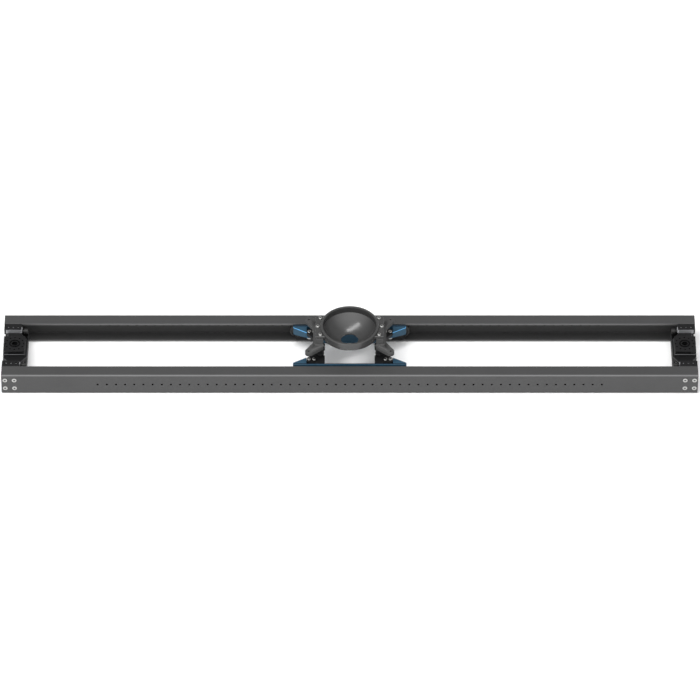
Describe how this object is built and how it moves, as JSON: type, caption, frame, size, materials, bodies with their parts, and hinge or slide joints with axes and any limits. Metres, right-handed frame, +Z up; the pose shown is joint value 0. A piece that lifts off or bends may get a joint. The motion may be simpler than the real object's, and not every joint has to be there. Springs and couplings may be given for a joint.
{
  "type": "camera slider",
  "caption": "Long camera slider: two drilled channel rails between end brackets, with a wheeled carriage that carries a half-ball bowl on two arms.",
  "frame": {"origin": "on the floor under the middle of the slider, with the carriage at mid-travel", "axes": "+X along the rails, +Y from the drilled front face to the rear, +Z up"},
  "size_m": [1.9, 0.25, 0.1383],
  "materials": {
    "rail_grey": "satin, fine grain",
    "bowl_grey": "satin anodised, turned",
    "bracket_black": "matt black anodised",
    "plate_blue": "blue anodised",
    "bare_metal": "machined",
    "bolt_steel": "bright zinc",
    "rubber": "matt",
    "wheel_nylon": "moulded"
  },
  "bodies": {
    "base": {"front_rail": "rail_grey", "rear_rail": "rail_grey", "left_end_bracket": "bracket_black", "left_front_bumper_bar": "bare_metal", "left_front_bumper": "rubber", "left_rear_bumper_bar": "bare_metal", "left_rear_bumper": "rubber", "right_end_bracket": "bracket_black", "right_front_bumper_bar": "bare_metal", "right_front_bumper": "rubber", "right_rear_bumper_bar": "bare_metal", "right_rear_bumper": "rubber"},
    "carriage": {"front_side_plate": "plate_blue", "rear_side_plate": "plate_blue", "bowl": "bowl_grey", "left_cross_member": "bracket_black", "left_arm": "rail_grey", "left_front_arm_bolt": "bolt_steel", "left_middle_arm_bolt": "bolt_steel", "left_rear_arm_bolt": "bolt_steel", "left_front_post": "bracket_black", "left_front_wheel_axle": "bolt_steel", "left_front_truck": "bracket_black", "left_front_inner_clamp_bolt": "bolt_steel", "left_front_outer_clamp_bolt": "bolt_steel", "left_rear_post": "bracket_black", "left_rear_wheel_axle": "bolt_steel", "left_rear_truck": "bracket_black", "left_rear_inner_clamp_bolt": "bolt_steel", "left_rear_outer_clamp_bolt": "bolt_steel", "right_cross_member": "bracket_black", "right_arm": "rail_grey", "right_front_arm_bolt": "bolt_steel", "right_middle_arm_bolt": "bolt_steel", "right_rear_arm_bolt": "bolt_steel", "right_front_post": "bracket_black", "right_front_wheel_axle": "bolt_steel", "right_front_truck": "bracket_black", "right_front_inner_clamp_bolt": "bolt_steel", "right_front_outer_clamp_bolt": "bolt_steel", "right_rear_post": "bracket_black", "right_rear_wheel_axle": "bolt_steel", "right_rear_truck": "bracket_black", "right_rear_inner_clamp_bolt": "bolt_steel", "right_rear_outer_clamp_bolt": "bolt_steel"},
    "left_front_wheel_set": {"left_front_wheel": "wheel_nylon", "left_front_wheel_bearing": "bolt_steel"},
    "left_front_roller_set": {"left_front_guide_roller": "wheel_nylon"},
    "left_rear_wheel_set": {"left_rear_wheel": "wheel_nylon", "left_rear_wheel_bearing": "bolt_steel"},
    "left_rear_roller_set": {"left_rear_guide_roller": "wheel_nylon"},
    "right_front_wheel_set": {"right_front_wheel": "wheel_nylon", "right_front_wheel_bearing": "bolt_steel"},
    "right_front_roller_set": {"right_front_guide_roller": "wheel_nylon"},
    "right_rear_wheel_set": {"right_rear_wheel": "wheel_nylon", "right_rear_wheel_bearing": "bolt_steel"},
    "right_rear_roller_set": {"right_rear_guide_roller": "wheel_nylon"}
  },
  "joints": [
    {"name": "carriage_slide", "type": "slide", "parent": "base", "child": "carriage", "axis": [1, 0, 0], "range_m": [-0.728, 0.728]},
    {"name": "left_front_wheel_spin", "type": "hinge", "parent": "carriage", "child": "left_front_wheel_set", "pos_m": [-0.139, -0.103, 0.0323], "axis": [0, 1, 0], "continuous": true},
    {"name": "left_front_roller_spin", "type": "hinge", "parent": "carriage", "child": "left_front_roller_set", "pos_m": [-0.095, -0.1087, 0.033], "axis": [0, 0, 1], "continuous": true},
    {"name": "left_rear_wheel_spin", "type": "hinge", "parent": "carriage", "child": "left_rear_wheel_set", "pos_m": [-0.139, 0.103, 0.0323], "axis": [0, 1, 0], "continuous": true},
    {"name": "left_rear_roller_spin", "type": "hinge", "parent": "carriage", "child": "left_rear_roller_set", "pos_m": [-0.095, 0.1087, 0.033], "axis": [0, 0, 1], "continuous": true},
    {"name": "right_front_wheel_spin", "type": "hinge", "parent": "carriage", "child": "right_front_wheel_set", "pos_m": [0.139, -0.103, 0.0323], "axis": [0, 1, 0], "continuous": true},
    {"name": "right_front_roller_spin", "type": "hinge", "parent": "carriage", "child": "right_front_roller_set", "pos_m": [0.095, -0.1087, 0.033], "axis": [0, 0, 1], "continuous": true},
    {"name": "right_rear_wheel_spin", "type": "hinge", "parent": "carriage", "child": "right_rear_wheel_set", "pos_m": [0.139, 0.103, 0.0323], "axis": [0, 1, 0], "continuous": true},
    {"name": "right_rear_roller_spin", "type": "hinge", "parent": "carriage", "child": "right_rear_roller_set", "pos_m": [0.095, 0.1087, 0.033], "axis": [0, 0, 1], "continuous": true}
  ],
  "couplings": [
    {"joint": "left_front_wheel_spin", "follows": "carriage_slide", "rad_per_m": 38.462},
    {"joint": "left_front_roller_spin", "follows": "carriage_slide", "rad_per_m": -100},
    {"joint": "left_rear_wheel_spin", "follows": "carriage_slide", "rad_per_m": 38.462},
    {"joint": "left_rear_roller_spin", "follows": "carriage_slide", "rad_per_m": 100},
    {"joint": "right_front_wheel_spin", "follows": "carriage_slide", "rad_per_m": 38.462},
    {"joint": "right_front_roller_spin", "follows": "carriage_slide", "rad_per_m": -100},
    {"joint": "right_rear_wheel_spin", "follows": "carriage_slide", "rad_per_m": 38.462},
    {"joint": "right_rear_roller_spin", "follows": "carriage_slide", "rad_per_m": 100}
  ]
}
